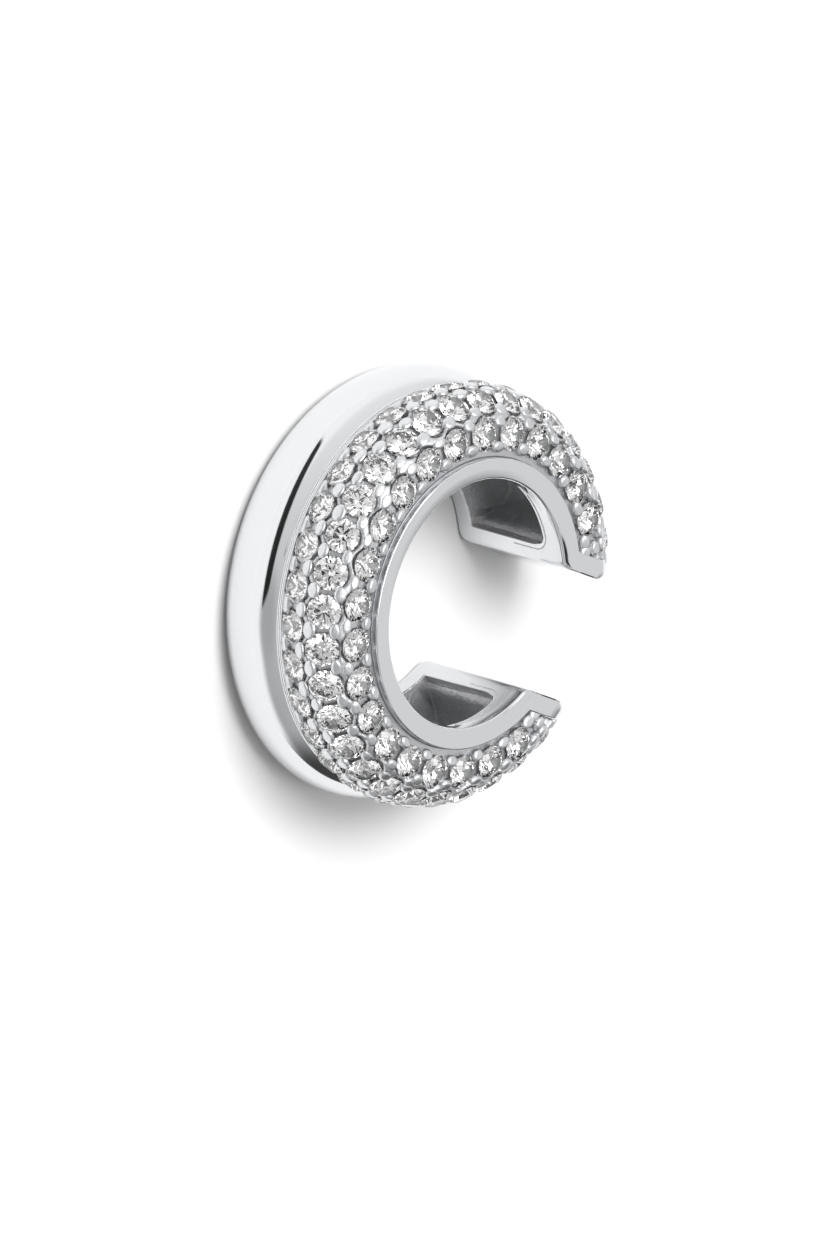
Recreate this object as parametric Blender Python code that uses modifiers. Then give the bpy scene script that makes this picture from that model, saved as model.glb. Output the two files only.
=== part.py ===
"""Ear cuff: a C-shaped double band, one band plain and domed, the other set with three rows of stones.

The cuff lies on the flat back of its plain band. The ring axis is +Z, the stone-set band is on top and the
gap that slides over the ear opens towards +X. Sections are drawn as (radius, height) in metres.
"""
import math

import bmesh
import bpy
from mathutils import Matrix, Vector

MM = 0.001

# The ring as worn
BORE_RADIUS = 4.23 * MM
CUFF_WIDTH = 5.07 * MM
GAP_WIDTH = 4.2 * MM
TIP_ROUNDING = 0.45 * MM
BORE_EDGE_ROUNDING = 0.15 * MM
LAND_STEP = 0.12 * MM

# Polished rim that frames the stones along the bore and across each tip
RIM_WIDTH = 0.72 * MM
RIM_FALL = 0.19 * MM
RIM_LIP = 0.32 * MM
RIM_CREST = 0.06 * MM
END_RIM = 0.68 * MM

# Stone-set domed band, at the front: its face is flat for a little way beside the rim
PAVE_FRONT_WIDTH = 0.65 * MM
PAVE_DOME_RADIUS = 1.6 * MM
BED_DROP = 0.18 * MM
BED_THICKNESS = 0.4 * MM
BED_CLEARANCE = 0.1 * MM
LAST_ROW_LIP = 0.07 * MM

# Plain domed band, at the back: its crest stands a little proud of the stone-set one
PLAIN_PROUD = 0.19 * MM
PLAIN_DOME_RADIUS = 1.5 * MM
PLAIN_DOME_HEIGHT = 1.14 * MM
BACK_EDGE_ROUNDING = 0.4 * MM

# Hollow channel that opens to the bore, closed behind each end rim
CHANNEL_WALL = 0.37 * MM
PLAIN_WALL = 0.95 * MM
BACK_LAND = 0.7 * MM
CHANNEL_CORNER = 0.35 * MM

# Round stones
STONE_DIAMETER = 1.15 * MM
STONE_TABLE = 0.57
STONE_CROWN = 0.15
STONE_LIFT = 0.03 * MM
STONE_ROOT = 0.16 * MM
STONE_SIDES = 8
FIRST_ROW_TILT = math.radians(84)
RAIL_WIDTH = 0.12 * MM

# One line for each row, from the bore outwards: the room between the end rim and the first stone's centre,
# and the step from stone to stone, both as shares of the stone's diameter
STONE_ROWS = (
    {"name": "inner", "end_room": 1.23, "pitch": 1.19},
    {"name": "middle", "end_room": 0.75, "pitch": 1.13},
    {"name": "outer", "end_room": 1.05, "pitch": 1.20},
)

# Facets of the round forms, and how near two points are to count as one
RING_STEPS = 48
DOME_STEPS = 12
HIDDEN_STEPS = 6
EDGE_STEPS = 4
MERGE_DISTANCE = 0.001 * MM

RIM_OUTER_RADIUS = BORE_RADIUS + RIM_WIDTH
PAVE_CENTRE = (RIM_OUTER_RADIUS + PAVE_FRONT_WIDTH, CUFF_WIDTH - PAVE_DOME_RADIUS)
PLAIN_CREST_RADIUS = PAVE_CENTRE[0] + PAVE_DOME_RADIUS + PLAIN_PROUD
PLAIN_CENTRE = (PLAIN_CREST_RADIUS - PLAIN_DOME_RADIUS, PLAIN_DOME_HEIGHT)
BED_RADIUS = PAVE_DOME_RADIUS - BED_DROP
BED_UNDERSIDE_RADIUS = BED_RADIUS - BED_THICKNESS
RECESS_RADIUS = BED_UNDERSIDE_RADIUS - BED_CLEARANCE
GIRDLE_RADIUS = BED_RADIUS + STONE_LIFT
STONE_HALF_ANGLE = math.atan(STONE_DIAMETER / 2 / GIRDLE_RADIUS)
ROW_STEP = 2 * STONE_HALF_ANGLE + RAIL_WIDTH / GIRDLE_RADIUS
LAST_ROW_TILT = FIRST_ROW_TILT - (len(STONE_ROWS) - 1) * ROW_STEP
RECESS_END = LAST_ROW_TILT - STONE_HALF_ANGLE - LAST_ROW_LIP / BED_RADIUS
OUTSIDE = 2 * PLAIN_CREST_RADIUS


def clear_scene():
    for item in list(bpy.data.objects):
        bpy.data.objects.remove(item, do_unlink=True)


def collection(name):
    group = bpy.data.collections.new(name)
    bpy.context.scene.collection.children.link(group)
    return group


def finish(name, colour, roughness, metallic):
    material = bpy.data.materials.new(name)
    material.use_nodes = True
    shader = material.node_tree.nodes["Principled BSDF"]
    shader.inputs["Base Color"].default_value = (*colour, 1)
    shader.inputs["Roughness"].default_value = roughness
    shader.inputs["Metallic"].default_value = metallic
    return material


def mesh_object(name, group, bm):
    mesh = bpy.data.meshes.new(name)
    bm.to_mesh(mesh)
    bm.free()
    item = bpy.data.objects.new(name, mesh)
    group.objects.link(item)
    return item


def as_cutter(item):
    item.hide_render = True
    item.display_type = "WIRE"
    return item


def arc(centre, radius, start, end, steps):
    """Points of a round stretch, from one angle to another, measured up from the outward direction."""
    angles = [start + (end - start) * i / steps for i in range(steps + 1)]
    return [(centre[0] + radius * math.cos(a), centre[1] + radius * math.sin(a)) for a in angles]


def circle_crossing(centre_a, radius_a, centre_b, radius_b):
    """The outer point where the upper and the lower circle of a section cross."""
    run = centre_b[0] - centre_a[0]
    rise = centre_b[1] - centre_a[1]
    apart = math.hypot(run, rise)
    along = (radius_a**2 - radius_b**2 + apart**2) / (2 * apart)
    across = math.sqrt(radius_a**2 - along**2)
    return (
        centre_a[0] + (along * run - across * rise) / apart,
        centre_a[1] + (along * rise + across * run) / apart,
    )


def direction(centre, point):
    return math.atan2(point[1] - centre[1], point[0] - centre[0])


def pave_outline(inner_radius, radius, end_angle, steps=DOME_STEPS):
    """Flat front and dome of the stone-set band, at a given radius about the dome's centre."""
    flat_start = (inner_radius, PAVE_CENTRE[1] + radius)
    return [flat_start] + arc(PAVE_CENTRE, radius, math.pi / 2, end_angle, steps)


def turned(name, group, outline):
    """A closed section turned about the ring axis. It runs down its outer side."""
    bm = bmesh.new()
    points = [bm.verts.new((radius, 0, height)) for radius, height in outline]
    for i, point in enumerate(points):
        bm.edges.new((point, points[(i + 1) % len(points)]))
    item = mesh_object(name, group, bm)
    screw = item.modifiers.new("turn", "SCREW")
    screw.axis = "Z"
    screw.steps = RING_STEPS
    screw.render_steps = RING_STEPS
    screw.use_smooth_shade = True
    screw.use_merge_vertices = True
    screw.merge_threshold = MERGE_DISTANCE
    return item


def turned_cutter(name, group, outline):
    """A turned cutter stands half a step round from what it cuts, so that no two edges nearly meet."""
    item = turned(name, group, outline)
    item.rotation_euler.z = math.pi / RING_STEPS
    return as_cutter(item)


def boolean(item, other, operation):
    step = item.modifiers.new(other.name, "BOOLEAN")
    step.operation = operation
    step.solver = "EXACT"
    step.object = other


def cuff_outline():
    """Section of the whole cuff: rim, stone-set dome, valley, plain dome, flat back and bore."""
    valley = circle_crossing(PAVE_CENTRE, PAVE_DOME_RADIUS, PLAIN_CENTRE, PLAIN_DOME_RADIUS)
    valley_on_pave = direction(PAVE_CENTRE, valley)
    valley_on_plain = direction(PLAIN_CENTRE, valley)
    edge_height = BACK_EDGE_ROUNDING - PLAIN_CENTRE[1]
    edge_run = math.sqrt((PLAIN_DOME_RADIUS - BACK_EDGE_ROUNDING) ** 2 - edge_height**2)
    edge_centre = (PLAIN_CENTRE[0] + edge_run, BACK_EDGE_ROUNDING)
    edge_start = direction(PLAIN_CENTRE, edge_centre)
    land_radius = BORE_RADIUS + LAND_STEP
    bore_centre = (land_radius + BORE_EDGE_ROUNDING, BORE_EDGE_ROUNDING)
    lip_height = CUFF_WIDTH - RIM_FALL - RIM_LIP
    outline = [(BORE_RADIUS, CUFF_WIDTH - RIM_FALL)]
    outline += pave_outline(RIM_OUTER_RADIUS - RIM_CREST, PAVE_DOME_RADIUS, valley_on_pave)
    outline += arc(PLAIN_CENTRE, PLAIN_DOME_RADIUS, valley_on_plain, edge_start, DOME_STEPS)[1:]
    outline += arc(edge_centre, BACK_EDGE_ROUNDING, edge_start, -math.pi / 2, EDGE_STEPS)[1:]
    outline += arc(bore_centre, BORE_EDGE_ROUNDING, -math.pi / 2, -math.pi, EDGE_STEPS)
    outline += [(land_radius, lip_height - LAND_STEP / 2), (BORE_RADIUS, lip_height)]
    return outline


def bed_outline():
    """Section of the curved bed that carries the stones."""
    inner = RIM_OUTER_RADIUS + BED_CLEARANCE
    end = RECESS_END + BED_CLEARANCE / BED_RADIUS
    top = pave_outline(inner, BED_RADIUS, end)
    underside = pave_outline(inner, BED_UNDERSIDE_RADIUS, end, HIDDEN_STEPS)
    return top + underside[::-1]


def recess_outline():
    """Section of the recess that the bed sits in."""
    top = pave_outline(RIM_OUTER_RADIUS, PAVE_DOME_RADIUS + BED_DROP, RECESS_END, HIDDEN_STEPS)
    floor = pave_outline(RIM_OUTER_RADIUS, RECESS_RADIUS, RECESS_END, HIDDEN_STEPS)
    return top + floor[::-1]


def channel_outline():
    """Section of the hollow channel, with its window to the bore."""
    front = PAVE_CENTRE[1] + RECESS_RADIUS - CHANNEL_WALL
    back = BACK_LAND
    pave_roof = PAVE_CENTRE[0] + RECESS_RADIUS - CHANNEL_WALL
    plain_roof = PLAIN_CREST_RADIUS - PLAIN_WALL
    step = (PAVE_CENTRE[1] + PLAIN_CENTRE[1]) / 2
    window = BORE_RADIUS / 2
    return [
        (window, front),
        (pave_roof - CHANNEL_CORNER, front),
        (pave_roof, front - CHANNEL_CORNER),
        (pave_roof, step + CHANNEL_CORNER / 2),
        (plain_roof, step - CHANNEL_CORNER / 2),
        (plain_roof, back + CHANNEL_CORNER),
        (plain_roof - CHANNEL_CORNER, back),
        (window, back),
    ]


def gap_cutter(group):
    """The parallel-sided gap, flared at its mouth so that the tips come out rounded."""
    half = GAP_WIDTH / 2
    flare = math.sqrt(PLAIN_CREST_RADIUS**2 - half**2) - TIP_ROUNDING
    corner = arc((flare, half + TIP_ROUNDING), TIP_ROUNDING, -math.pi / 2, 0, EDGE_STEPS)
    mouth = [(corner[-1][0], OUTSIDE), (OUTSIDE, OUTSIDE)]
    side = [(0, half)] + corner + mouth
    outline = side + [(x, -y) for x, y in reversed(side)]
    bm = bmesh.new()
    bm.faces.new([bm.verts.new((x, y, CUFF_WIDTH / 2)) for x, y in outline])
    item = mesh_object("gap", group, bm)
    depth = item.modifiers.new("through", "SOLIDIFY")
    depth.thickness = 2 * CUFF_WIDTH
    depth.offset = 0
    return as_cutter(item)


def gap_block(name, group, margin):
    """A plain block over the gap, wider by a margin on each side."""
    size = Matrix.Diagonal((OUTSIDE, GAP_WIDTH + 2 * margin, 3 * CUFF_WIDTH, 1))
    bm = bmesh.new()
    bmesh.ops.create_cube(bm, size=1, matrix=Matrix.Translation((OUTSIDE / 2, 0, CUFF_WIDTH / 2)) @ size)
    return as_cutter(mesh_object(name, group, bm))


def on_dome(around, tilt, lift):
    """A place on the stone-set band: its Z axis points out of the metal, its Y axis runs round the ring."""
    ring = Matrix.Rotation(around, 4, "Z") @ Matrix.Translation((PAVE_CENTRE[0], 0, PAVE_CENTRE[1]))
    return ring @ Matrix.Rotation(math.pi / 2 - tilt, 4, "Y") @ Matrix.Translation((0, 0, lift))


def row_angles(tilt, end_room, pitch):
    """Angles of a row's stones, evenly spread between the two end rims."""
    radius = PAVE_CENTRE[0] + GIRDLE_RADIUS * math.cos(tilt)
    rim_angle = math.asin((GAP_WIDTH / 2 + END_RIM) / radius)
    first = rim_angle + end_room * STONE_DIAMETER / radius
    sweep = 2 * (math.pi - first)
    steps = round(sweep * radius / (pitch * STONE_DIAMETER))
    return [first + sweep * i / steps for i in range(steps + 1)]


def add_stone(bm, place):
    """A cut stone: a table and eight crown facets over a straight girdle that goes down into the bed."""
    girdle = STONE_DIAMETER / 2
    crown = STONE_CROWN * STONE_DIAMETER
    made = bmesh.ops.create_cone(
        bm,
        cap_ends=True,
        segments=STONE_SIDES,
        radius1=girdle,
        radius2=girdle * STONE_TABLE,
        depth=crown,
        matrix=place @ Matrix.Translation((0, 0, crown / 2)),
    )
    to_stone = place.inverted()
    faces = {face for vert in made["verts"] for face in vert.link_faces}
    base = min(faces, key=lambda face: (to_stone @ face.calc_center_median()).z)
    root = bmesh.ops.extrude_face_region(bm, geom=[base])
    verts = [item for item in root["geom"] if isinstance(item, bmesh.types.BMVert)]
    bmesh.ops.delete(bm, geom=[base], context="FACES_ONLY")
    down = place.to_3x3() @ Vector((0, 0, -STONE_ROOT))
    bmesh.ops.translate(bm, verts=verts, vec=down)


def stone_row(row, index, group):
    tilt = FIRST_ROW_TILT - index * ROW_STEP
    bm = bmesh.new()
    angles = row_angles(tilt, row["end_room"], row["pitch"])
    for around in angles:
        add_stone(bm, on_dome(around, tilt, GIRDLE_RADIUS))
    bmesh.ops.recalc_face_normals(bm, faces=bm.faces)
    return as_cutter(mesh_object(row["name"] + "_stones", group, bm))


def build_body(parts, cutters, gap):
    body = turned("cuff_body", parts, cuff_outline())
    recess = turned_cutter("recess", cutters, recess_outline())
    boolean(recess, gap_block("recess_ends", cutters, END_RIM), "DIFFERENCE")
    channel = turned_cutter("channel", cutters, channel_outline())
    boolean(channel, gap_block("channel_ends", cutters, END_RIM), "DIFFERENCE")
    boolean(body, recess, "DIFFERENCE")
    boolean(body, channel, "DIFFERENCE")
    boolean(body, gap, "DIFFERENCE")
    body.data.materials.append(finish("rhodium_plated_silver", (0.83, 0.83, 0.84), 0.08, 1))
    return body


def build_pave(parts, cutters):
    field = turned("pave_field", parts, bed_outline())
    boolean(field, gap_block("bed_ends", cutters, END_RIM + BED_CLEARANCE), "DIFFERENCE")
    for index, row in enumerate(STONE_ROWS):
        boolean(field, stone_row(row, index, cutters), "UNION")
    field.data.materials.append(finish("set_clear_stones", (0.92, 0.93, 0.95), 0.05, 0))
    return field


def centre_footprint(parts, root):
    """Moves the cuff so that the middle of its footprint is over the origin."""
    bpy.context.view_layer.update()
    graph = bpy.context.evaluated_depsgraph_get()
    reach = []
    for item in parts.objects:
        shape = item.evaluated_get(graph)
        reach += [(shape.matrix_world @ vert.co).x for vert in shape.data.vertices]
    root.location.x = -(min(reach) + max(reach)) / 2


def main():
    clear_scene()
    parts = collection("ear_cuff")
    cutters = collection("cutters")
    build_body(parts, cutters, gap_cutter(cutters))
    build_pave(parts, cutters)
    root = bpy.data.objects.new("ear_cuff", None)
    bpy.context.scene.collection.objects.link(root)
    for item in list(parts.objects) + list(cutters.objects):
        item.parent = root
    centre_footprint(parts, root)


main()
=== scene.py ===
# %% [markdown]
# An ear cuff: a C-shaped double band that slides over the rim of the ear. One band is plain and domed,
# the other is set with three rows of small round stones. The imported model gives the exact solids. This
# notebook dresses them: it remakes the casting with soft polished edges, cuts the stones as brilliants,
# raises the beads of metal that hold them, and lights everything like a jeweller's catalogue picture.
# Blender works in metres and a jeweller in tenths of a millimetre, so every size below is written as
# millimetres times MM.

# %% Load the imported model
import math
import random

import bmesh
import bpy
from mathutils import Matrix, Vector
from mathutils.kdtree import KDTree


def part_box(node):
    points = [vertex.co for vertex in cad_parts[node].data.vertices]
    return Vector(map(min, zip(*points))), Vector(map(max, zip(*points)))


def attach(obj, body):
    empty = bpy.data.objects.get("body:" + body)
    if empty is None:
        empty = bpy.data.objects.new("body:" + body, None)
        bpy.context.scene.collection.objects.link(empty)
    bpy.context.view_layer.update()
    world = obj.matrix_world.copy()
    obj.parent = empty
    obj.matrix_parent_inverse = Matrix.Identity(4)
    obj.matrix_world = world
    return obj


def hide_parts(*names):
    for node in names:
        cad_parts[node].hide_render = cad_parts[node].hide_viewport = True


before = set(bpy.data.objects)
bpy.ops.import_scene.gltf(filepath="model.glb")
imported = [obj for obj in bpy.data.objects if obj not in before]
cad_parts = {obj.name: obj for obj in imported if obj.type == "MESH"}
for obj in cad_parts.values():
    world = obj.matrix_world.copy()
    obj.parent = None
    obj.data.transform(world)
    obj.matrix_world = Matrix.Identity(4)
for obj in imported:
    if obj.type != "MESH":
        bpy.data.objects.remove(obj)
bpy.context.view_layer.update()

MM = 0.001

# %% [markdown]
# The ring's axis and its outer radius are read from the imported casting: the cuff lies on its plain band,
# the axis points up and the gap opens towards +X. The bands are two domes side by side, and each is an
# arc in the section with a centre and a radius of its own. A centre is given as its radius from the axis
# and its height.

# %% Sizes of the casting
low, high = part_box("cuff_body")
CREST_RADIUS = high.y
RING_X = low.x + CREST_RADIUS
CUFF_WIDTH = 5.07 * MM
BORE_RADIUS = 4.23 * MM
RIM_RADIUS = 4.95 * MM
PAVE_CENTRE = (5.60 * MM, 3.47 * MM)
PAVE_RADIUS = 1.6 * MM
PLAIN_RADIUS = 1.5 * MM
PLAIN_CENTRE = (CREST_RADIUS - PLAIN_RADIUS, 1.14 * MM)
print("ring axis at x = %.4f mm, crest %.3f mm" % (RING_X / MM, CREST_RADIUS / MM))

# %% [markdown]
# A section is drawn as points of radius and height. A few helpers draw it: a point on a circle, numbers
# spread evenly, an arc of points, and an ease from 0 to 1 for shapes that grow out of each other.

# %% Helpers for sections
def polar(centre, radius, angle):
    return centre[0] + radius * math.cos(angle), centre[1] + radius * math.sin(angle)


def spread(start, end, steps):
    return [start + (end - start) * i / steps for i in range(steps + 1)]


def arc(centre, radius, start, end, steps):
    return [polar(centre, radius, angle) for angle in spread(start, end, steps)]


def smooth(x):
    x = min(max(x, 0), 1)
    return x * x * (3 - 2 * x)


print("the ease at its quarters:", [smooth(x) for x in spread(0, 1, 4)])

# %% [markdown]
# The tips of the C pass over the ear, so they are rounded more than any other edge. Each edge of the flat
# end is rounded along a quarter circle: most at the foot, less outside, and least round the bore. The
# three are eased into each other, so that no crease shows between them. A bevel would be quicker, but it
# rounds all edges alike.

# %% Round tips
GAP_HALF = 2.1 * MM
TIP_ROUNDING = 0.31 * MM
BORE_ROUNDING = 0.2 * MM
FOOT_ROUNDING = 0.4 * MM
OUTER_EASE = 0.9 * MM
EDGE_EASE = 2.2
FOOT_EASE = 2


def corner_fall(rounding, offset):
    """How far an edge of the slot face is rounded back, at a distance from the middle of the gap."""
    into = min(max(GAP_HALF + rounding - offset, 0), rounding)
    return rounding - math.sqrt(rounding**2 - into**2)


def tip_fall(radius, height, offset):
    """The shift of a point that rounds the tip: inwards, away from the bore and up from the foot."""
    middle = Vector((PAVE_CENTRE[0], min(max(height, PLAIN_CENTRE[1]), PAVE_CENTRE[1])))
    inwards = (middle - Vector((radius, height))).normalized()
    outer = inwards * smooth((radius - middle.x) / OUTER_EASE) * corner_fall(TIP_ROUNDING, offset)
    from_bore = radius - BORE_RADIUS
    inner = corner_fall(BORE_ROUNDING, offset) * smooth(1 - from_bore / (EDGE_EASE * BORE_ROUNDING))
    foot = corner_fall(FOOT_ROUNDING, offset) * smooth(1 - height / (EDGE_EASE * FOOT_ROUNDING))
    foot *= smooth(1 - from_bore / (FOOT_EASE * FOOT_ROUNDING))
    return Vector((outer.x + inner, 0, outer.y + foot))


print("outer edge of a tip, pulled in by %.2f mm" % (corner_fall(TIP_ROUNDING, GAP_HALF) / MM))

# %% [markdown]
# A section is drawn once and swept round the ring. The two ends of a C are flat and parallel, so a point
# far out meets the end plane at a smaller angle than a point near the bore. Each point is therefore given
# its own angle: a station counts from -1 at one tip, through 0 where the end rim stops and 1 at the back
# of the ring, to 3 at the other tip.

# %% Places on the ring
END_RIM = 0.68 * MM
END_WALL = 0.52 * MM
WALL_EDGE = 4.5 * MM


def on_ring(point, station):
    """A point of the section, at a station round the ring. The end is thinner round the bore than outside."""
    radius, height = point
    end = END_WALL + (END_RIM - END_WALL) * smooth((radius - WALL_EDGE) / (RIM_RADIUS - WALL_EDGE))
    mirrored = station > 1
    station = 2 - station if mirrored else station
    if station <= 0:
        offset = GAP_HALF + (1 + station) * end
        place = Vector((math.sqrt(radius**2 - offset**2), offset, height))
        place += tip_fall(radius, height, offset)
    else:
        start = math.asin((GAP_HALF + end) / radius)
        around = start + (math.pi - start) * station
        place = Vector((radius * math.cos(around), radius * math.sin(around), height))
    if mirrored:
        place.y = -place.y
    return place + Vector((RING_X, 0, 0))


tip = on_ring((CREST_RADIUS, PLAIN_CENTRE[1]), -1)
print("outermost point of a tip, mm:", [round(c / MM, 2) for c in tip])

# %% [markdown]
# The camera looks at the cuff as it does in the photograph: from 41 degrees above the stone-set face,
# behind the closed side of the C. The photographed cuff stands on edge. This one lies on its side, as it
# would by itself, so the camera is rolled to give the same picture. A long lens keeps the ring's ellipse
# almost free of perspective. The distance is worked out so that one millimetre is about 30 pixels.

# %% Camera
PICTURE_HEIGHT = 1248
PICTURE_MIDDLE = (416, 624)
PIXELS_PER_MM = 30.15
AIM_PIXEL = (479.2, 604.3)
SENSOR = 36
LENS = 600
TURN = math.radians(2.5)
TILT = math.radians(40.93)
ROLL = math.radians(15.8)
CLIP = 50

along = Vector((math.cos(TURN), math.sin(TURN), 0))
across = Vector((-math.sin(TURN), math.cos(TURN), 0))
upward = Vector((0, 0, 1))
to_camera = upward * math.sin(TILT) - along * math.cos(TILT)
lean = along * math.sin(TILT) + upward * math.cos(TILT)
picture_right = lean * math.cos(ROLL) + across * math.sin(ROLL)
picture_up = across * math.cos(ROLL) - lean * math.sin(ROLL)
distance = LENS / SENSOR * PICTURE_HEIGHT / PIXELS_PER_MM * MM
aim = Vector((RING_X, 0, CUFF_WIDTH))
aim += picture_right * (PICTURE_MIDDLE[0] - AIM_PIXEL[0]) / PIXELS_PER_MM * MM
aim += picture_up * (AIM_PIXEL[1] - PICTURE_MIDDLE[1]) / PIXELS_PER_MM * MM
camera = bpy.data.objects.new("camera", bpy.data.cameras.new("camera"))
bpy.context.scene.collection.objects.link(camera)
camera.matrix_world = (
    Matrix.Translation(aim + to_camera * distance)
    @ Matrix((picture_right, picture_up, to_camera)).transposed().to_4x4()
)
camera.data.lens = LENS
camera.data.sensor_width = SENSOR
camera.data.clip_start = distance / CLIP
camera.data.clip_end = distance * CLIP
bpy.context.scene.camera = camera
print("camera %.0f mm from the cuff, %.1f degrees up" % (distance / MM, math.degrees(TILT)))

# %% [markdown]
# Materials are small networks of nodes. One helper turns the sRGB colour that is read on a screen into
# the linear one that light adds up in, with the numbers of the sRGB standard. Another adds a node, its
# settings and its links in a single line.

# %% Helpers for materials
def colour(code):
    parts = [int(code[i:i + 2], 16) / 255 for i in (1, 3, 5)]
    return (*[c / 12.92 if c <= 0.04045 else ((c + 0.055) / 1.055) ** 2.4 for c in parts], 1)


def add(tree, kind, inputs=None, **settings):
    node = tree.nodes.new(kind)
    for name, value in settings.items():
        setattr(node, name, value)
    for name, value in (inputs or {}).items():
        if isinstance(value, bpy.types.NodeSocket):
            tree.links.new(value, node.inputs[name])
        else:
            node.inputs[name].default_value = value
    return node


def new_material(name):
    material = bpy.data.materials.new(name)
    material.use_nodes = True
    return material, material.node_tree, material.node_tree.nodes["Principled BSDF"]


print("the screen's #808080 is %.2f of the light of white" % colour("#808080")[0])

# %% [markdown]
# Rhodium-plated sterling silver, polished on felt wheels. Rhodium is a little darker and bluer than bare
# silver, so the mirror looks cool and almost black and white. The wheel leaves the surface wavy over a
# millimetre or so. It also leaves hairlines, a few thousandths of a millimetre apart. They are too fine
# for the picture and are drawn 0.05 mm apart, coarse enough to show as a soft satin on the widest
# highlights.

# %% Polished silver
HAIRLINE = 0.05 * MM
HAIRLINE_HEIGHT = 0.02
WAVE = 1.4 * MM

polished, tree, shader = new_material("polished_rhodium_silver")
shader.inputs["Base Color"].default_value = colour("#E3E4E6")
shader.inputs["Metallic"].default_value = 1
place = add(tree, "ShaderNodeTexCoord").outputs["Object"]
lines = add(tree, "ShaderNodeTexNoise", {"Vector": place, "Scale": 1 / HAIRLINE, "Detail": 2})
waves = add(tree, "ShaderNodeTexNoise", {"Vector": place, "Scale": 1 / WAVE, "Detail": 1})
rough = add(tree, "ShaderNodeMapRange", {"Value": waves.outputs["Fac"], "To Min": 0.04, "To Max": 0.09})
tree.links.new(rough.outputs["Result"], shader.inputs["Roughness"])
height = add(tree, "ShaderNodeMath", {0: lines.outputs["Fac"], 1: HAIRLINE_HEIGHT}, operation="MULTIPLY")
bump = add(tree, "ShaderNodeBump", {"Height": height.outputs[0], "Strength": 0.15, "Distance": HAIRLINE})
tree.links.new(bump.outputs["Normal"], shader.inputs["Normal"])
print("polished silver: hairlines %.2f mm apart" % (HAIRLINE / MM))

# %% [markdown]
# Inside the hollow channel the wheel can't reach, so the silver keeps the grain of the plaster it was
# cast in: pits and crumbs of about 0.15 mm that look grey and dull. Its colour is painted darker with the
# distance from the ring's axis, as painted shade deeper in the channel, and it varies in blotches of
# random tone.

# %% Cast silver
GRIT = 0.15 * MM
SHALLOW = 4.55 * MM
DEEP = 5.3 * MM
BLOTCH = 0.4

cast, tree, shader = new_material("cast_silver")
shader.inputs["Metallic"].default_value = 1
place = add(tree, "ShaderNodeTexCoord").outputs["Object"]
grit = add(tree, "ShaderNodeTexNoise", {"Vector": place, "Scale": 1 / GRIT, "Detail": 5, "Roughness": 0.6})
# Painted shade: the colour darkens with the distance from the axis, from SHALLOW to DEEP, deeper in the
# channel.
from_axis = add(tree, "ShaderNodeVectorMath", {0: place, 1: (RING_X, 0, 0)}, operation="SUBTRACT")
flat = add(tree, "ShaderNodeVectorMath", {0: from_axis.outputs[0], 1: (1, 1, 0)}, operation="MULTIPLY")
out = add(tree, "ShaderNodeVectorMath", {0: flat.outputs[0]}, operation="LENGTH")
limits = {"From Min": SHALLOW, "From Max": DEEP}
depth = add(tree, "ShaderNodeMapRange", {"Value": out.outputs["Value"], **limits}).outputs["Result"]
limits = {"To Min": -BLOTCH, "To Max": BLOTCH}
blotch = add(tree, "ShaderNodeMapRange", {"Value": grit.outputs["Fac"], **limits}).outputs["Result"]
shade_and_mottle = add(tree, "ShaderNodeMath", {0: depth, 1: blotch}, operation="ADD")
tone = add(tree, "ShaderNodeValToRGB", {"Fac": shade_and_mottle.outputs[0]})
tone.color_ramp.elements[0].color = colour("#F4F4F5")
tone.color_ramp.elements[1].color = colour("#CFD0D1")
tree.links.new(tone.outputs["Color"], shader.inputs["Base Color"])
rough = add(tree, "ShaderNodeMapRange", {"Value": grit.outputs["Fac"], "To Min": 0.4, "To Max": 0.7})
tree.links.new(rough.outputs["Result"], shader.inputs["Roughness"])
bump = add(tree, "ShaderNodeBump", {"Height": grit.outputs["Fac"], "Strength": 0.8, "Distance": 0.5 * GRIT})
tree.links.new(bump.outputs["Normal"], shader.inputs["Normal"])
print("cast silver: grain of %.2f mm" % (GRIT / MM))

# %% [markdown]
# Between the stones lies the bed: silver that was drilled and cut back with a graver. Its colour is
# painted a little darker than the polished silver, as painted shade in the recess between the stones.
# The graver's cuts are about 0.08 mm apart. They spread a reflection into a dull grey.

# %% Bed silver
CUT = 0.08 * MM

shaded_bed_silver, tree, shader = new_material("cut_silver_bed")
shader.inputs["Metallic"].default_value = 1
# Painted shade: the bed is coloured darker than the polished silver, as shade between the stones.
shader.inputs["Base Color"].default_value = colour("#CBCCCE")
place = add(tree, "ShaderNodeTexCoord").outputs["Object"]
cuts = add(tree, "ShaderNodeTexNoise", {"Vector": place, "Scale": 1 / CUT, "Detail": 3})
rough = add(tree, "ShaderNodeMapRange", {"Value": cuts.outputs["Fac"], "To Min": 0.3, "To Max": 0.5})
tree.links.new(rough.outputs["Result"], shader.inputs["Roughness"])
bump = add(tree, "ShaderNodeBump", {"Height": cuts.outputs["Fac"], "Strength": 0.4, "Distance": 0.3 * CUT})
tree.links.new(bump.outputs["Normal"], shader.inputs["Normal"])
print("bed silver: cuts %.2f mm apart" % (CUT / MM))

# %% [markdown]
# The beads that hold the stones are pressed down with a cupped punch and are too small to be polished one
# by one. Tumbling leaves them a satin shine with shallow dents, so they blur what they reflect into soft
# light greys.

# %% Bead silver
DENT = 0.12 * MM
DENT_DEPTH = 0.02 * MM

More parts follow.
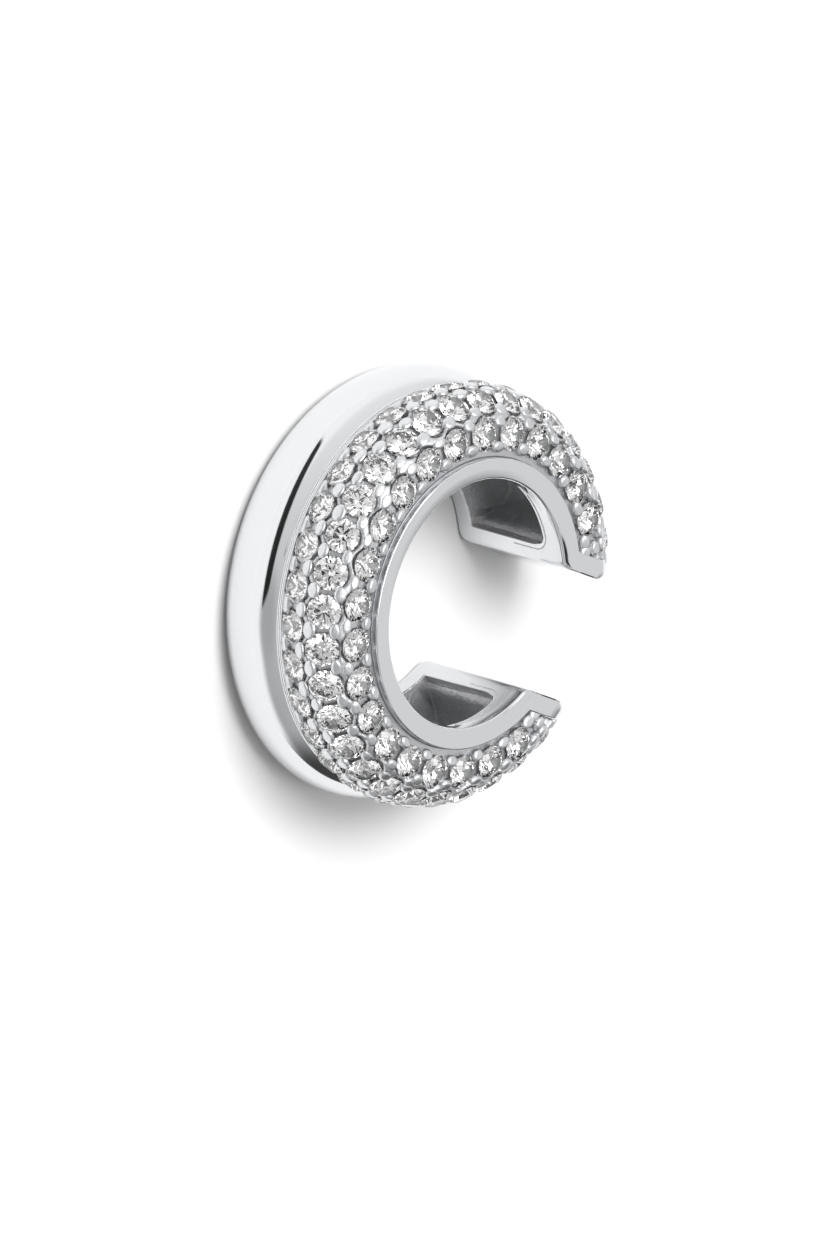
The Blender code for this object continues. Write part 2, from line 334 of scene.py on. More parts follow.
bead_silver, tree, shader = new_material("tumbled_silver")
shader.inputs["Metallic"].default_value = 1
shader.inputs["Base Color"].default_value = colour("#DCDDDF")
place = add(tree, "ShaderNodeTexCoord").outputs["Object"]
dents = add(tree, "ShaderNodeTexNoise", {"Vector": place, "Scale": 1 / DENT, "Detail": 2})
rough = add(tree, "ShaderNodeMapRange", {"Value": dents.outputs["Fac"], "To Min": 0.22, "To Max": 0.38})
tree.links.new(rough.outputs["Result"], shader.inputs["Roughness"])
bump = add(tree, "ShaderNodeBump", {"Height": dents.outputs["Fac"], "Strength": 0.5, "Distance": DENT_DEPTH})
tree.links.new(bump.outputs["Normal"], shader.inputs["Normal"])
print("bead silver: dents of %.2f mm" % (DENT / MM))

# %% [markdown]
# Clear cubic zirconia. It bends light more than glass or quartz, with an index of 2.16, so most of the
# light that enters through the table is thrown back out by the facets below. That gives white flashes
# beside black ones.

# %% Cubic zirconia
ZIRCONIA_IOR = 2.16

zirconia, tree, shader = new_material("cubic_zirconia")
shader.inputs["Base Color"].default_value = colour("#FFFFFF")
shader.inputs["Roughness"].default_value = 0
shader.inputs["IOR"].default_value = ZIRCONIA_IOR
shader.inputs["Transmission Weight"].default_value = 1
print("zirconia keeps light in past %.0f degrees" % math.degrees(math.asin(1 / ZIRCONIA_IOR)))

# %% [markdown]
# A polishing wheel takes every sharp edge off. The outlines below are therefore tables of corners that
# also say how much each corner is rounded, and this helper puts an arc there that touches both sides of
# the corner.

# %% Rounded corners
def rounded(corners, steps=4):
    """An open outline through corners of (radius, height, rounding), with a round stretch at each corner."""
    points = [Vector(corners[0][:2])]
    for before, here, after in zip(corners, corners[1:], corners[2:]):
        corner, rounding = Vector(here[:2]), here[2]
        back = (Vector(before[:2]) - corner).normalized()
        ahead = (Vector(after[:2]) - corner).normalized()
        if not rounding:
            points.append(corner)
            continue
        half = back.angle(ahead) / 2
        centre = corner + (back + ahead).normalized() * rounding / math.sin(half)
        start = corner + back * rounding / math.tan(half)
        end = corner + ahead * rounding / math.tan(half)
        for share in spread(0, 1, steps):
            mixed = (start - centre).lerp(end - centre, share)
            points.append(centre + mixed.normalized() * rounding)
    return [tuple(p) for p in points] + [corners[-1][:2]]


print("one rounded corner has", len(rounded([(0, 1, 0), (0, 0, 0.1), (1, 0, 0)])) - 2, "points")

# %% [markdown]
# The front of the casting, from the bore outwards: a lip, a polished rim with a soft edge and a low
# crown, and then the stone-set dome. At the tips the dome is solid metal. Between the end rims it is cut
# down to a recess with a flat edge, and the bed of the stones lies in that.

# %% Front rim and recess
RECESS_END = math.radians(-40)
BED_FLOOR = 0.92 * MM
LAND_RADIUS = BORE_RADIUS + 0.12 * MM
ROOF = 0.37 * MM
WINDOW_HIGH = PAVE_CENTRE[1] + BED_FLOOR - ROOF
LIP = CUFF_WIDTH - 0.51 * MM
LIP_FALL = 0.06 * MM
LIP_SOFT = 0.03 * MM
RIM_FALL = 0.08 * MM
RIM_SOFT = 0.09 * MM
RIM_CROWN = (4.6 * MM, CUFF_WIDTH - 0.02 * MM)
CROWN_SOFT = 1 * MM
DOME_STEPS = 44
FLOOR_STEPS = 20

rim = rounded([
    (LAND_RADIUS, WINDOW_HIGH, 0),
    (LAND_RADIUS, LIP - LIP_FALL, 0),
    (BORE_RADIUS, LIP, LIP_SOFT),
    (BORE_RADIUS, CUFF_WIDTH - RIM_FALL, RIM_SOFT),
    (*RIM_CROWN, CROWN_SOFT),
    (RIM_RADIUS, CUFF_WIDTH, 0),
])
front = [(RIM_RADIUS, CUFF_WIDTH)]
front += arc(PAVE_CENTRE, PAVE_RADIUS, math.pi / 2, RECESS_END, DOME_STEPS)
recess = [(RIM_RADIUS, CUFF_WIDTH), (RIM_RADIUS, PAVE_CENTRE[1] + BED_FLOOR)]
recess += arc(PAVE_CENTRE, BED_FLOOR, math.pi / 2, RECESS_END, FLOOR_STEPS)
recess.append(front[-1])
print("front: %d points, recess: %d points" % (len(rim + front), len(recess)))

# %% [markdown]
# Outside, the two domes meet in a valley, at the point where their circles cross. The plain dome ends
# above the floor in an edge with a small radius of its own, which touches both the dome and the floor.
# The flat ring inside that edge is what the cuff rests on.

# %% Domes and foot
EDGE = 0.4 * MM
WINDOW_LOW = 0.7 * MM
FOOT_SOFT = 0.15 * MM
VALLEY_STEPS = 4
EDGE_STEPS = 8
FOOT_STEPS = 6

run = PLAIN_CENTRE[0] - PAVE_CENTRE[0]
rise = PLAIN_CENTRE[1] - PAVE_CENTRE[1]
apart = math.hypot(run, rise)
reach = (PAVE_RADIUS**2 - PLAIN_RADIUS**2 + apart**2) / (2 * apart)
aside = math.sqrt(PAVE_RADIUS**2 - reach**2)
valley = (
    PAVE_CENTRE[0] + (reach * run - aside * rise) / apart,
    PAVE_CENTRE[1] + (reach * rise + aside * run) / apart,
)
valley_on_pave = math.atan2(valley[1] - PAVE_CENTRE[1], valley[0] - PAVE_CENTRE[0])
valley_on_plain = math.atan2(valley[1] - PLAIN_CENTRE[1], valley[0] - PLAIN_CENTRE[0])
edge_run = math.sqrt((PLAIN_RADIUS - EDGE) ** 2 - (EDGE - PLAIN_CENTRE[1]) ** 2)
edge_centre = (PLAIN_CENTRE[0] + edge_run, EDGE)
edge_start = math.atan2(EDGE - PLAIN_CENTRE[1], edge_run)
outside = arc(PAVE_CENTRE, PAVE_RADIUS, RECESS_END, valley_on_pave, VALLEY_STEPS)
outside += arc(PLAIN_CENTRE, PLAIN_RADIUS, valley_on_plain, edge_start, DOME_STEPS)[1:]
outside += arc(edge_centre, EDGE, edge_start, -math.pi / 2, EDGE_STEPS)[1:]
outside += arc((LAND_RADIUS + FOOT_SOFT, FOOT_SOFT), FOOT_SOFT, -math.pi / 2, -math.pi, FOOT_STEPS)
outside.append((LAND_RADIUS, WINDOW_LOW))
print("valley, mm:", [round(c / MM, 2) for c in valley])

# %% [markdown]
# The casting is hollow, which saves silver: a channel runs inside both bands and opens to the bore
# through a long window. It reaches further out in the plain band than in the stone-set one, with a
# sloping step between them.

# %% Window and channel
PLAIN_WALL = 0.95 * MM
STEP_HALF = 0.17 * MM
PLAIN_SOFT = 0.12 * MM
PAVE_SOFT = 0.35 * MM

wall = [(LAND_RADIUS, WINDOW_LOW), (LAND_RADIUS, WINDOW_HIGH)]
pave_roof = PAVE_CENTRE[0] + BED_FLOOR - ROOF
plain_roof = CREST_RADIUS - PLAIN_WALL
step = (PAVE_CENTRE[1] + PLAIN_CENTRE[1]) / 2
channel = rounded([
    (LAND_RADIUS, WINDOW_LOW, 0),
    (plain_roof, WINDOW_LOW, PLAIN_SOFT),
    (plain_roof, step - STEP_HALF, 0),
    (pave_roof, step + STEP_HALF, 0),
    (pave_roof, WINDOW_HIGH, PAVE_SOFT),
    (LAND_RADIUS, WINDOW_HIGH, 0),
])
print("window %.2f mm high, channel: %d points" % ((WINDOW_HIGH - WINDOW_LOW) / MM, len(channel)))

# %% [markdown]
# The outlines are swept into sheets of faces, and flat caps close what is left open. Near a tip two
# things change: the channel grows shallow, because it ends in a sloping wall, and the window's top curves
# down to a round corner. Solids cut from each other could give the same form, but they leave ragged
# faces, and a mirror finish shows every one.

# %% Sweep a section
CAST = 1
RAMP = 0.11
SHALLOW_SHARE = 0.2
WINDOW_CORNER = 0.38 * MM
HALF_TURN = math.pi - math.asin((GAP_HALF + END_WALL) / LAND_RADIUS)
CORNER_REACH = WINDOW_CORNER / (HALF_TURN * LAND_RADIUS)
TOUCHING = 0.001 * MM


def near_tip(outline, station, finish=0):
    """The outline at a station, with the window's round corner and the channel's shallow end."""
    station = min(station, 2 - station)
    depth = SHALLOW_SHARE + (1 - SHALLOW_SHARE) * smooth(station / RAMP)
    left = 1 - min(max(station / CORNER_REACH, 0), 1)
    top = WINDOW_HIGH - WINDOW_CORNER * (1 - math.sqrt(1 - left**2))
    points = []
    for radius, height in outline:
        if finish == CAST:
            radius = LAND_RADIUS + (radius - LAND_RADIUS) * depth
            height = min(height, top)
        elif math.dist((radius, height), (LAND_RADIUS, WINDOW_HIGH)) < TOUCHING:
            height = top
        points.append((radius, height))
    return points


def sheet(bm, outline, stations, finish=0):
    """Faces between the copies of an outline at each station. The finish is the number of their material."""
    rows = []
    for station in stations:
        points = near_tip(outline, station, finish)
        rows.append([bm.verts.new(on_ring(point, station)) for point in points])
    for before, after in zip(rows, rows[1:]):
        for i in range(len(outline) - 1):
            bm.faces.new((before[i], before[i + 1], after[i + 1], after[i])).material_index = finish


def cap(bm, outline, station, finish=0):
    edge = [bm.verts.new(on_ring(point, station)) for point in outline]
    bm.faces.new(edge).material_index = finish


print("the window's corner takes %.1f percent of half the ring" % (100 * CORNER_REACH))

# %% [markdown]
# Two helpers finish a piece. One welds its sheets into a closed skin and turns the faces outwards. The
# other makes an object of it, with smooth shading and its materials.

# %% Helpers for pieces
WELD = 0.0005 * MM


def closed(bm):
    bmesh.ops.remove_doubles(bm, verts=bm.verts, dist=WELD)
    bmesh.ops.recalc_face_normals(bm, faces=bm.faces)
    if bm.calc_volume(signed=True) < 0:
        bmesh.ops.reverse_faces(bm, faces=bm.faces)
    print("open edges:", sum(not edge.is_manifold for edge in bm.edges))
    return bm


def to_object(bm, name, materials):
    mesh = bpy.data.meshes.new(name)
    bm.to_mesh(mesh)
    bm.free()
    mesh.shade_smooth()
    piece = bpy.data.objects.new(name, mesh)
    bpy.context.scene.collection.objects.link(piece)
    for material in materials:
        mesh.materials.append(material)
    print(name, len(mesh.polygons), "faces")
    return piece


# %% [markdown]
# The casting is one closed mesh: a solid stretch at each tip, and between them four sheets for the rim,
# the recess, the outside and the channel. The stations crowd at the tips and at the window's corners,
# where the shape changes fastest. A last bevel softens the edges round the flat caps. Faces inside the
# channel keep the cast finish.

# %% Casting
END_STEPS = 9
TIP_CROWDING = 1.5
HALF_STEPS = 110
CORNER_STEPS = 8
SOFT_EDGE = 0.06 * MM
SOFT_STEPS = 3
SHARP = math.radians(35)

to_corner = spread(0, CORNER_REACH, CORNER_STEPS)
middle = to_corner[:-1] + spread(CORNER_REACH, 2 - CORNER_REACH, 2 * HALF_STEPS)
middle += [2 - station for station in to_corner[-2::-1]]
from_tip = [s**TIP_CROWDING - 1 for s in spread(0, 1, END_STEPS)]
solid = rim + front[1:] + outside[1:] + wall[1:]

bm = bmesh.new()
for end in (from_tip, [2 - station for station in from_tip]):
    sheet(bm, solid, end)
for outline, finish in ((rim, 0), (recess, 0), (outside, 0), (channel, CAST)):
    sheet(bm, outline, middle, finish)
for station in (-1, 3):
    cap(bm, near_tip(solid, station)[:-1], station)
for station in (0, 2):
    cap(bm, front + recess[-2:0:-1], station)
    cap(bm, near_tip(wall, station) + near_tip(channel, station, CAST)[-2:0:-1], station, CAST)
body = to_object(closed(bm), "casting", [polished, cast])
bevel = body.modifiers.new("soft edges", "BEVEL")
bevel.width = SOFT_EDGE
bevel.segments = SOFT_STEPS
bevel.limit_method = "ANGLE"
bevel.angle_limit = SHARP
bevel.harden_normals = True
bevel.use_clamp_overlap = False
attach(body, "root")
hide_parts("cuff_body")

# %% [markdown]
# A fine line curves round the corner of the window, like the trace that a seam in a wax pattern leaves.
# It is a wire thinner than a hair, sunk to half its thickness in the land, so that it stands up just
# enough to show. A groove would look the same at this size, and would need a cut in the casting.

# %% Line round the window
LINE = 0.022 * MM
LINE_AWAY = 0.16 * MM
LINE_RUN = 1 * MM
BEND_STEPS = 16
RUN_STEPS = 6
WIRE_SIDES = 8


def on_land(offset, height):
    return Vector((RING_X + math.sqrt(LAND_RADIUS**2 - offset**2), offset, height))


def wire(bm, centres):
    """A round wire along points of the land, closed at both ends."""
    rings = []
    for before, here, after in zip(centres[:1] + centres, centres, centres[1:] + centres[-1:]):
        outwards = Vector((here.x - RING_X, here.y, 0)).normalized()
        beside = (after - before).cross(outwards).normalized()
        around = [2 * math.pi * i / WIRE_SIDES for i in range(WIRE_SIDES)]
        places = [here + LINE * (outwards * math.sin(a) + beside * math.cos(a)) for a in around]
        rings.append([bm.verts.new(place) for place in places])
    for one, other in zip(rings, rings[1:]):
        for i in range(WIRE_SIDES):
            after = (i + 1) % WIRE_SIDES
            bm.faces.new((one[i], one[after], other[after], other[i]))
    bm.faces.new(rings[0])
    bm.faces.new(rings[-1])


corner = (GAP_HALF + END_WALL + WINDOW_CORNER, WINDOW_HIGH - WINDOW_CORNER)
bend = arc(corner, WINDOW_CORNER + LINE_AWAY, -math.pi, -1.5 * math.pi, BEND_STEPS)
path = [(bend[0][0], bend[0][1] - LINE_RUN)] + bend
path += [(bend[-1][0] + run, bend[-1][1]) for run in spread(0, LINE_RUN, RUN_STEPS)[1:]]
bm = bmesh.new()
for side in (-1, 1):
    wire(bm, [on_land(side * offset, height) for offset, height in path])
line = to_object(closed(bm), "window_lines", [cast])
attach(line, "root")
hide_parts("cuff_body")

# %% [markdown]
# The stones sit in three rows on the curved bed. A row is a circle round the ring at its own tilt, and
# its stones are spread evenly between the two end rims. The table gives, in stone diameters, the room at
# each end and the step from stone to stone.

# %% Rows of stones
STONE = 1.15 * MM
GIRDLE = 1.45 * MM
RAIL = 0.12 * MM
FIRST_TILT = math.radians(84)
HALF_STONE = math.atan(STONE / 2 / GIRDLE)
ROW_STEP = 2 * HALF_STONE + RAIL / GIRDLE
ROWS = (
    {"name": "inner", "end_room": 1.23, "pitch": 1.19},
    {"name": "middle", "end_room": 0.75, "pitch": 1.13},
    {"name": "outer", "end_room": 1.05, "pitch": 1.20},
)


def on_bed(around, tilt, lift):
    """A place on the bed: its Z axis points out of the metal, its Y axis runs round the ring."""
    ring = Matrix.Translation((RING_X, 0, 0)) @ Matrix.Rotation(around, 4, "Z")
    dome = Matrix.Translation((PAVE_CENTRE[0], 0, PAVE_CENTRE[1]))
    dome = dome @ Matrix.Rotation(math.pi / 2 - tilt, 4, "Y")
    return ring @ dome @ Matrix.Translation((0, 0, lift))


def row_angles(row):
    radius = PAVE_CENTRE[0] + GIRDLE * math.cos(row["tilt"])
    first = math.asin((GAP_HALF + END_RIM) / radius) + row["end_room"] * STONE / radius
    steps = round(2 * (math.pi - first) * radius / (row["pitch"] * STONE))
    return spread(first, 2 * math.pi - first, steps)


for index, row in enumerate(ROWS):
    row["tilt"] = FIRST_TILT - index * ROW_STEP
    row["angles"] = row_angles(row)
    print(row["name"], "row:", len(row["angles"]), "stones, tilt %.0f" % math.degrees(row["tilt"]))

# %% [markdown]
# Under the stones lies the bed, one curved strip that fills the recess. It is made as a fine grid of
# points on top of a plain underside, so that seats and ridges can be pressed into it afterwards. A
# texture could displace it too, but moving the points puts each seat exactly under its stone.

# %% Bed
BED_LOW = 1.35 * MM
BED_ROUND = 760
BED_ACROSS = 80


def bed_section(tilt):
    """A point of the bed's top: flat beside the rim, then round over the dome."""
    if tilt > math.pi / 2:
        return PAVE_CENTRE[0] - (tilt - math.pi / 2) * GIRDLE, PAVE_CENTRE[1] + BED_LOW
    return polar(PAVE_CENTRE, BED_LOW, tilt)


inner_edge = math.pi / 2 + (PAVE_CENTRE[0] - RIM_RADIUS) / GIRDLE
top = [bed_section(tilt) for tilt in spread(inner_edge, RECESS_END, BED_ACROSS)]
underside = [(RIM_RADIUS, PAVE_CENTRE[1] + BED_FLOOR)]
underside += arc(PAVE_CENTRE, BED_FLOOR, math.pi / 2, RECESS_END, FLOOR_STEPS)
bm = bmesh.new()
sheet(bm, top, spread(0, 2, BED_ROUND))
sheet(bm, top[-1:] + underside[::-1] + top[:1], spread(0, 2, BED_ROUND))
for station in (0, 2):
    cap(bm, top + underside[::-1], station)
closed(bm)
print("points of the bed:", len(bm.verts))

# %% [markdown]
# The setter drills a conical seat for each stone. Between the rows a thin ridge of metal is left
# standing, and the seats cut into it from both sides, so it winds along between the girdles. The ridge
# rises with the same ease on both sides, and the highest one counts wherever two overlap.

# %% Ridges between the rows
RAIL_TOPS = (1.58 * MM, 1.46 * MM, 1.4 * MM)
RAIL_HALF = 0.25 * MM
RAIL_SLOPE = 0.14 * MM

rails = [(row["tilt"] - HALF_STONE - RAIL / GIRDLE / 2, top) for row, top in zip(ROWS, RAIL_TOPS)]


def rail_lift(tilt):
    """How far the highest ridge at this tilt stands above the bed."""
    lifts = []
    for rail, top in rails:
        lifts.append(smooth((RAIL_HALF - abs(tilt - rail) * GIRDLE) / RAIL_SLOPE) * (top - BED_LOW))
    return max(lifts)


print("ridges stand up by, mm:", [round(rail_lift(rail) / MM, 2) for rail, top in rails])

# %% [markdown]
# Each point of the grid looks for its nearest stone. Inside the seat it is pushed down into the cone.
# Outside it is lifted by the ridge, but not where the ridge would stand against the girdle of the stone.

# %% Seats under the stones
SEAT = 0.47 * STONE
SEAT_REACH = 0.2 * MM
SEAT_TOP = 0.1 * MM
SEAT_SLOPE = 0.8
LAP = 0.045 * MM
CLEAR = 0.07 * MM

places = [on_bed(around, row["tilt"], GIRDLE) for row in ROWS for around in row["angles"]]
seats = [place.inverted() for place in places]
stone_centres = KDTree(len(places))
for i, place in enumerate(places):
    stone_centres.insert(place.translation, i)
stone_centres.balance()

drilled = 0
for vert in bm.verts:
    seat = seats[stone_centres.find(vert.co)[1]]
    local = seat @ vert.co
    away = math.hypot(local.x, local.y)
    if away < SEAT and abs(local.z) < SEAT_REACH:
        local.z = -SEAT_TOP - (SEAT - away) * SEAT_SLOPE
        vert.co = seat.inverted() @ local
        drilled += 1
        continue
    around = math.atan2(vert.co.y, vert.co.x - RING_X)
    from_dome = math.hypot(vert.co.x - RING_X, vert.co.y) - PAVE_CENTRE[0]
    rise = vert.co.z - PAVE_CENTRE[1]
    if abs(math.hypot(rise, from_dome) - BED_LOW) < TOUCHING:
        tilt = math.atan2(rise, from_dome)
        lift = rail_lift(tilt) * smooth((away - STONE / 2 + LAP) / CLEAR)
        vert.co = on_bed(around, tilt, BED_LOW + lift).translation
print(drilled, "points lie in", len(seats), "seats")
bed = to_object(bm, "pave_bed", [shaded_bed_silver])
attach(bed, "root")
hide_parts("pave_field")

# %% [markdown]
# A round brilliant has 57 facets: a flat table, a crown of eight stars, eight kites and sixteen girdle
# facets, and below the girdle sixteen halves and eight mains that meet in a point. Two angles fix it: the
# crown rises at 34.5 degrees and the pavilion falls at 40.8. The other sizes are shares of the stone's
# radius. A simpler shape would save faces, but only the real facets break the light up as a cut stone
# does.

# %% One brilliant
TABLE = 0.57
STAR = 0.79
HALVES = 0.22
CROWN_SLOPE = math.tan(math.radians(34.5))
PAVILION_SLOPE = math.tan(math.radians(40.8))
GIRDLE_BAND = 0.02 * MM
EIGHTH = math.pi / 4


def ring_of(bm, radius, height, count, turn=0):
    around = [turn + 2 * math.pi * i / count for i in range(count)]
    return [bm.verts.new((*polar((0, 0), radius, angle), height)) for angle in around]


def brilliant():
    bm = bmesh.new()
    radius = STONE / 2
    inward = math.cos(EIGHTH / 2)
    table = ring_of(bm, TABLE * radius, (1 - TABLE) * radius * CROWN_SLOPE, 8)
    stars = ring_of(bm, STAR * radius, (1 - STAR * inward) * radius * CROWN_SLOPE, 8, EIGHTH / 2)
    upper = ring_of(bm, radius, 0, 16)
    lower = ring_of(bm, radius, -GIRDLE_BAND, 16)
    deep = -GIRDLE_BAND - (1 - HALVES * inward) * radius * PAVILION_SLOPE
    halves = ring_of(bm, HALVES * radius, deep, 8, EIGHTH / 2)
    culet = bm.verts.new((0, 0, -GIRDLE_BAND - radius * PAVILION_SLOPE))
    bm.faces.new(table)
    for i in range(16):
        bm.faces.new((upper[i], lower[i], lower[(i + 1) % 16], upper[(i + 1) % 16]))
    for i in range(8):
        after, odd, even = (i + 1) % 8, 2 * i + 1, (2 * i + 2) % 16
        bm.faces.new((table[i], stars[i], table[after]))
        bm.faces.new((table[after], stars[i], upper[even], stars[after]))
        bm.faces.new((stars[i], upper[2 * i], upper[odd]))
        bm.faces.new((stars[i], upper[odd], upper[even]))
        bm.faces.new((halves[i], lower[odd], lower[2 * i]))
        bm.faces.new((halves[i], lower[even], lower[odd]))
        bm.faces.new((culet, halves[after], lower[even], halves[i]))
    bmesh.ops.recalc_face_normals(bm, faces=bm.faces)
    bm.verts.index_update()
    return bm


one = brilliant()
print("one brilliant:", len(one.faces), "faces with its girdle")

# %% [markdown]
# The stone is copied to every seat, all in one mesh. A setter doesn't line the facets up, so each stone
# is turned by a fixed angle from the last, and no two neighbours flash alike. Flat shading keeps the
# facets crisp. One object for each stone would do as well, and would be slower to handle.

# %% Set the stones
STONE_TURN = 2.4


def copies(original, places):
    """One mesh with a copy of the original at each place."""
    made = bmesh.new()
    for place in places:
        verts = [made.verts.new(place @ vert.co) for vert in original.verts]
        for face in original.faces:
            made.faces.new([verts[vert.index] for vert in face.verts])
    original.free()
    return made


places = []
for row in ROWS:
    for number, around in enumerate(row["angles"]):
        places.append(on_bed(around, row["tilt"], GIRDLE) @ Matrix.Rotation(STONE_TURN * number, 4, "Z"))
stones = to_object(copies(one, places), "round_stones", [zirconia])
stones.data.shade_flat()
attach(stones, "root")
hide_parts("pave_field")

# %% [markdown]
# Each stone is held by beads of metal raised from the bed between it and its neighbour, two on each side.
# The setter lifts a curl of silver with a graver and rounds it with a cupped punch, so a bead is a little
# dome, fuller than half a ball, that stands over the girdle. Here it is a ball whose top is flattened and
# which is stretched along the row.

# %% One bead
BEAD = (0.23 * MM, 0.31 * MM, 0.2 * MM)
BEAD_TOP = 1.6 * MM
BEAD_SIZES = (0.88, 1.12)
BEAD_SHIFT = 0.03 * MM
FULLNESS = 2.6
hand = random.Random(7)


def bead(around, tilt, aside):
    """The place and size of one bead, beside the middle line of its row. No two come out quite the same."""
    across, along_row, tall = [half * hand.uniform(*BEAD_SIZES) for half in BEAD]
    tilt += (aside + hand.uniform(-BEAD_SHIFT, BEAD_SHIFT)) / GIRDLE
    return on_bed(around, tilt, BEAD_TOP - tall) @ Matrix.Diagonal((across, along_row, tall, 1))


one = bmesh.new()
bmesh.ops.create_uvsphere(one, u_segments=20, v_segments=12, radius=1)
for vert in one.verts:
    flat = math.sqrt(max(0, 1 - (vert.co.x**2 + vert.co.y**2) ** FULLNESS))
    vert.co.z = math.copysign(flat, vert.co.z)
one.verts.index_update()
print("one bead:", len(one.faces), "faces")

# %% [markdown]
# The beads stand in pairs beside the middle line of a row, halfway between one stone and the next and at
# both ends. Where there is room between the last stone and the end rim, further beads fill it three
# abreast.

# %% Set the beads
BEAD_ASIDE = 0.42 * MM
BEAD_STEP = 0.4 * MM

places = []
for row in ROWS:
    radius = PAVE_CENTRE[0] + GIRDLE * math.cos(row["tilt"])
    half_step = (row["angles"][1] - row["angles"][0]) / 2
    first = row["angles"][0] - half_step
    spare = (first - math.asin((GAP_HALF + END_RIM) / radius)) * radius
    filled = [first - (i + 1) * BEAD_STEP / radius for i in range(int(spare / BEAD_STEP))]
    for around in [first] + [angle + half_step for angle in row["angles"]]:
        places += [bead(around, row["tilt"], side * BEAD_ASIDE) for side in (-1, 1)]
    for around in filled + [2 * math.pi - angle for angle in filled]:
        places += [bead(around, row["tilt"], side * BEAD_ASIDE) for side in (-1, 0, 1)]
print(len(places), "beads")
beads = to_object(copies(one, places), "bead_prongs", [bead_silver])
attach(beads, "root")
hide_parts("pave_field")

# %% [markdown]
# The cuff lies on a large sheet of matt card. The card is a pale grey, so that under the lights below it
# comes out just white and doesn't burn out the metal that mirrors it.

# %% Floor
STAGE = 0.6

bm = bmesh.new()
bmesh.ops.create_grid(bm, x_segments=1, y_segments=1, size=STAGE)
card, tree, shader = new_material("white_card")
shader.inputs["Base Color"].default_value = colour("#CBCBCB")
shader.inputs["Roughness"].default_value = 0.8
floor = to_object(bm, "floor", [card])

# %% [markdown]
# Polished metal shows only what stands round it, so the cuff is lit inside a tent of white cloth. The
# tent is drawn as a world that has a brightness for each direction. A direction is given in degrees round
# the ring, counted from straight ahead of the camera, and in degrees above the floor. How close another
# direction is to it is their dot product, and a fade between two such values draws an edge. Lamps and
# sheets of cloth could be set up round the cuff instead, but a world is exact and adds no noise.

# %% World of directions
world = bpy.data.worlds.new("studio")
bpy.context.scene.world = world
world.use_nodes = True
tree = world.node_tree
toward = add(tree, "ShaderNodeTexCoord").outputs["Generated"]


def heading(around, up):
    around, up = math.radians(around) + TURN, math.radians(up)
    return Vector((math.cos(around) * math.cos(up), math.sin(around) * math.cos(up), math.sin(up)))


def closeness(direction):
    product = add(tree, "ShaderNodeVectorMath", {0: toward, 1: direction}, operation="DOT_PRODUCT")
    return product.outputs["Value"]


def fade(value, start, end, low, high):
    limits = {"From Min": start, "From Max": end, "To Min": low, "To Max": high}
    inputs = {"Value": value, **limits}
    return add(tree, "ShaderNodeMapRange", inputs, interpolation_type="SMOOTHSTEP").outputs["Result"]


print("straight ahead of the camera:", [round(c, 2) for c in heading(0, 0)])

# %% [markdown]
# The cloth is a little brighter on one side than on the other. Patches that are lighter or darker lie on
# it, such as the soft box above, the bright table and the dim opening for the lens. A patch is full
# inside one angle from its middle and gone outside another.

# %% Tent
TENT = 0.72
SIDE = 0.26
PATCHES = (
    {"name": "soft box", "around": 95, "up": 80, "full": 20, "gone": 28, "level": 3.8},
    {"name": "back wall", "around": 0, "up": 35, "full": 20, "gone": 50, "level": 0.8},
    {"name": "bright table", "around": 170, "up": -76, "full": 93, "gone": 108, "level": 1.13},
    {"name": "stand", "around": 34, "up": 1, "full": 5, "gone": 12, "level": 0.03},
    {"name": "lens opening", "around": 218, "up": 34, "full": 4, "gone": 26, "level": 0.46},
    {"name": "table edge", "around": 318, "up": 0, "full": 22, "gone": 48, "level": 0.06},
)

sideways = add(tree, "ShaderNodeMath", {0: closeness(heading(90, 0)), 1: SIDE}, operation="MULTIPLY")
level = add(tree, "ShaderNodeMath", {0: sideways.outputs[0], 1: TENT}, operation="ADD").outputs[0]
for patch in PATCHES:
    near = closeness(heading(patch["around"], patch["up"]))
    gone, full = [math.cos(math.radians(patch[edge])) for edge in ("gone", "full")]
    inside = fade(near, gone, full, 0, 1)
    level = add(tree, "ShaderNodeMix", {0: inside, 2: level, 3: patch["level"]}).outputs[0]
print("patches of the tent:", ", ".join(patch["name"] for patch in PATCHES))

# %% [markdown]
# The gap under the tent's near edge gives the plain dome its long black streak. In the photograph the
# streak is a wedge that narrows along the band, so the gap lies between two planes through the tent that
# aren't parallel: it is dark above the lower plane and below the higher one, and it ends at some angle to
# each side.

# %% Dark gap
GAP_LOW = {"axis": (11.9, 61.0), "level": -8.8, "soft": 1.2}
GAP_HIGH = {"axis": (8.2, 45.6), "level": -9.5, "soft": 2}
GAP_MIDDLE = 169
GAP_REACH = 44
GAP_FADE = (4, -2)
UNLIT = 0.03


def beyond(edge):
    """1 above a plane through the tent and 0 below it."""
    start, end = [math.sin(math.radians(edge["level"] + side * edge["soft"])) for side in (-1, 1)]
    return fade(closeness(heading(*edge["axis"])), start, end, 0, 1)


both = {0: beyond(GAP_LOW), 1: beyond(GAP_HIGH)}
between = add(tree, "ShaderNodeMath", both, operation="SUBTRACT").outputs[0]
gone, full = [math.cos(math.radians(GAP_REACH + extra)) for extra in GAP_FADE]
ends = fade(closeness(heading(GAP_MIDDLE, 0)), gone, full, 0, 1)
dark = add(tree, "ShaderNodeMath", {0: between, 1: ends}, operation="MULTIPLY").outputs[0]
left = fade(dark, 0, 1, 1, UNLIT)
level = add(tree, "ShaderNodeMath", {0: level, 1: left}, operation="MULTIPLY").outputs[0]
print("the dark gap reaches", GAP_REACH, "degrees to each side")

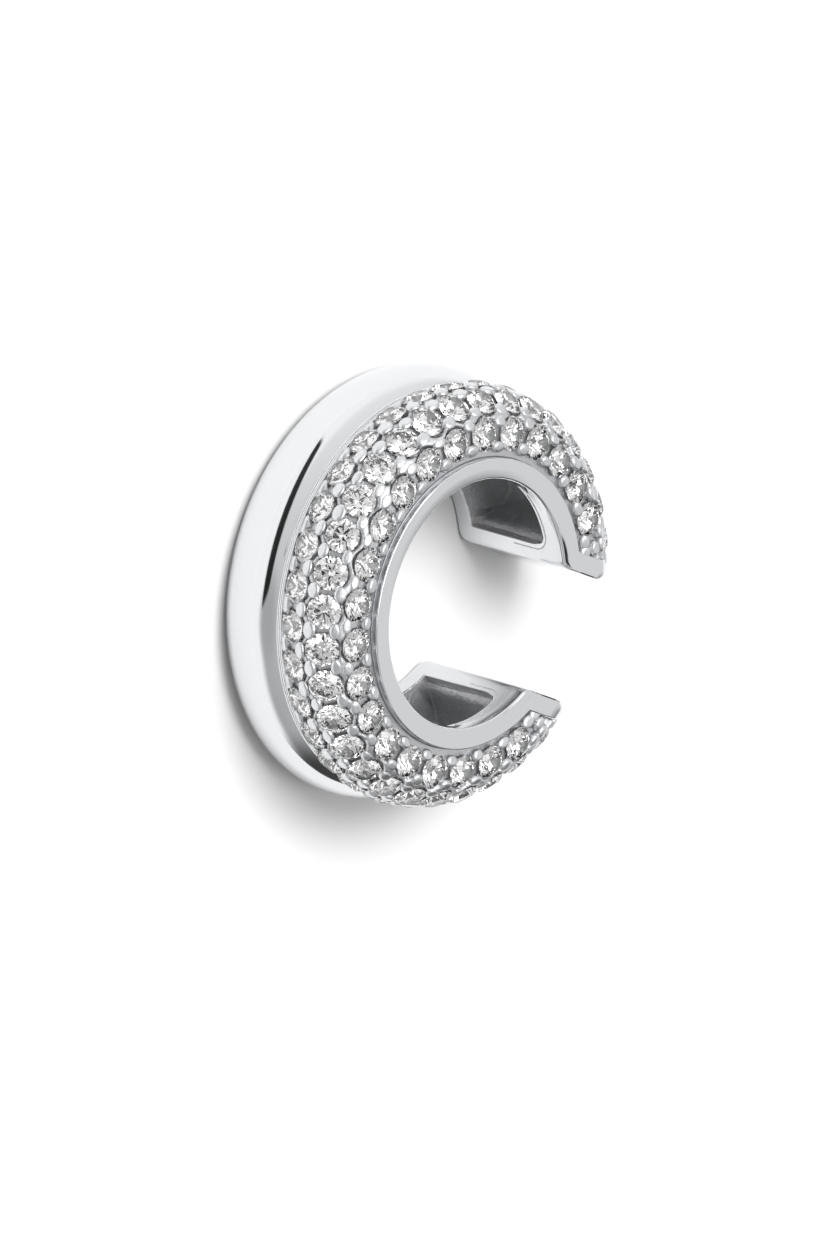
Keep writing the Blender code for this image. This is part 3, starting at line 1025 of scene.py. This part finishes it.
# %% [markdown]
# In a plain white tent a clear stone looks plain white too, so dark spots hang overhead. They are the
# cells of a pattern that is laid over all directions, and each facet shows a few of them. Nothing in the
# tent is quite black, and the light is shown as it is, with no film look.

# %% Dark spots overhead
SPOT_SIZE = 9
SPOT_SHARE = 0.39
SPOT_SOFT = 0.05
SPOTS_ABOVE = 54
SPOTS_SOFT = 3
DARKEST = 0.02

cells = add(tree, "ShaderNodeTexVoronoi", {"Vector": toward, "Scale": 1 / math.radians(SPOT_SIZE)})
spots = fade(cells.outputs["Distance"], SPOT_SHARE - SPOT_SOFT, SPOT_SHARE + SPOT_SOFT, 1, 0)
lower, upper = [math.sin(math.radians(SPOTS_ABOVE + side * SPOTS_SOFT)) for side in (-1, 1)]
overhead = fade(closeness(heading(0, 90)), lower, upper, 0, 1)
spotted = add(tree, "ShaderNodeMath", {0: spots, 1: overhead}, operation="MULTIPLY").outputs[0]
open_part = fade(spotted, 0, 1, 1, UNLIT)
level = add(tree, "ShaderNodeMath", {0: level, 1: open_part}, operation="MULTIPLY").outputs[0]
level = add(tree, "ShaderNodeMath", {0: level, 1: DARKEST}, operation="MAXIMUM").outputs[0]
tree.links.new(level, tree.nodes["Background"].inputs["Strength"])
tree.nodes["Background"].inputs["Color"].default_value = (1, 1, 1, 1)
bpy.context.scene.view_settings.view_transform = "Standard"
print("dark spots of", SPOT_SIZE, "degrees, from", SPOTS_ABOVE, "degrees up")

# %% [markdown]
# One soft key light gives the floor its shadow, which falls to the lower left of the picture. It is
# hidden from mirrors and from clear stones, because the tent already holds everything that they should
# show.

# %% Key light
KEY = {"around": 132, "up": 58, "width": 32, "power": 3.6}

key = bpy.data.objects.new("key light", bpy.data.lights.new("key light", "SUN"))
bpy.context.scene.collection.objects.link(key)
key.data.energy = KEY["power"]
key.data.angle = math.radians(KEY["width"])
key.rotation_euler = heading(KEY["around"], KEY["up"]).to_track_quat("Z", "Y").to_euler()
key.visible_glossy = False
key.visible_transmission = False
print("key light %d degrees up and %d degrees wide" % (KEY["up"], KEY["width"]))
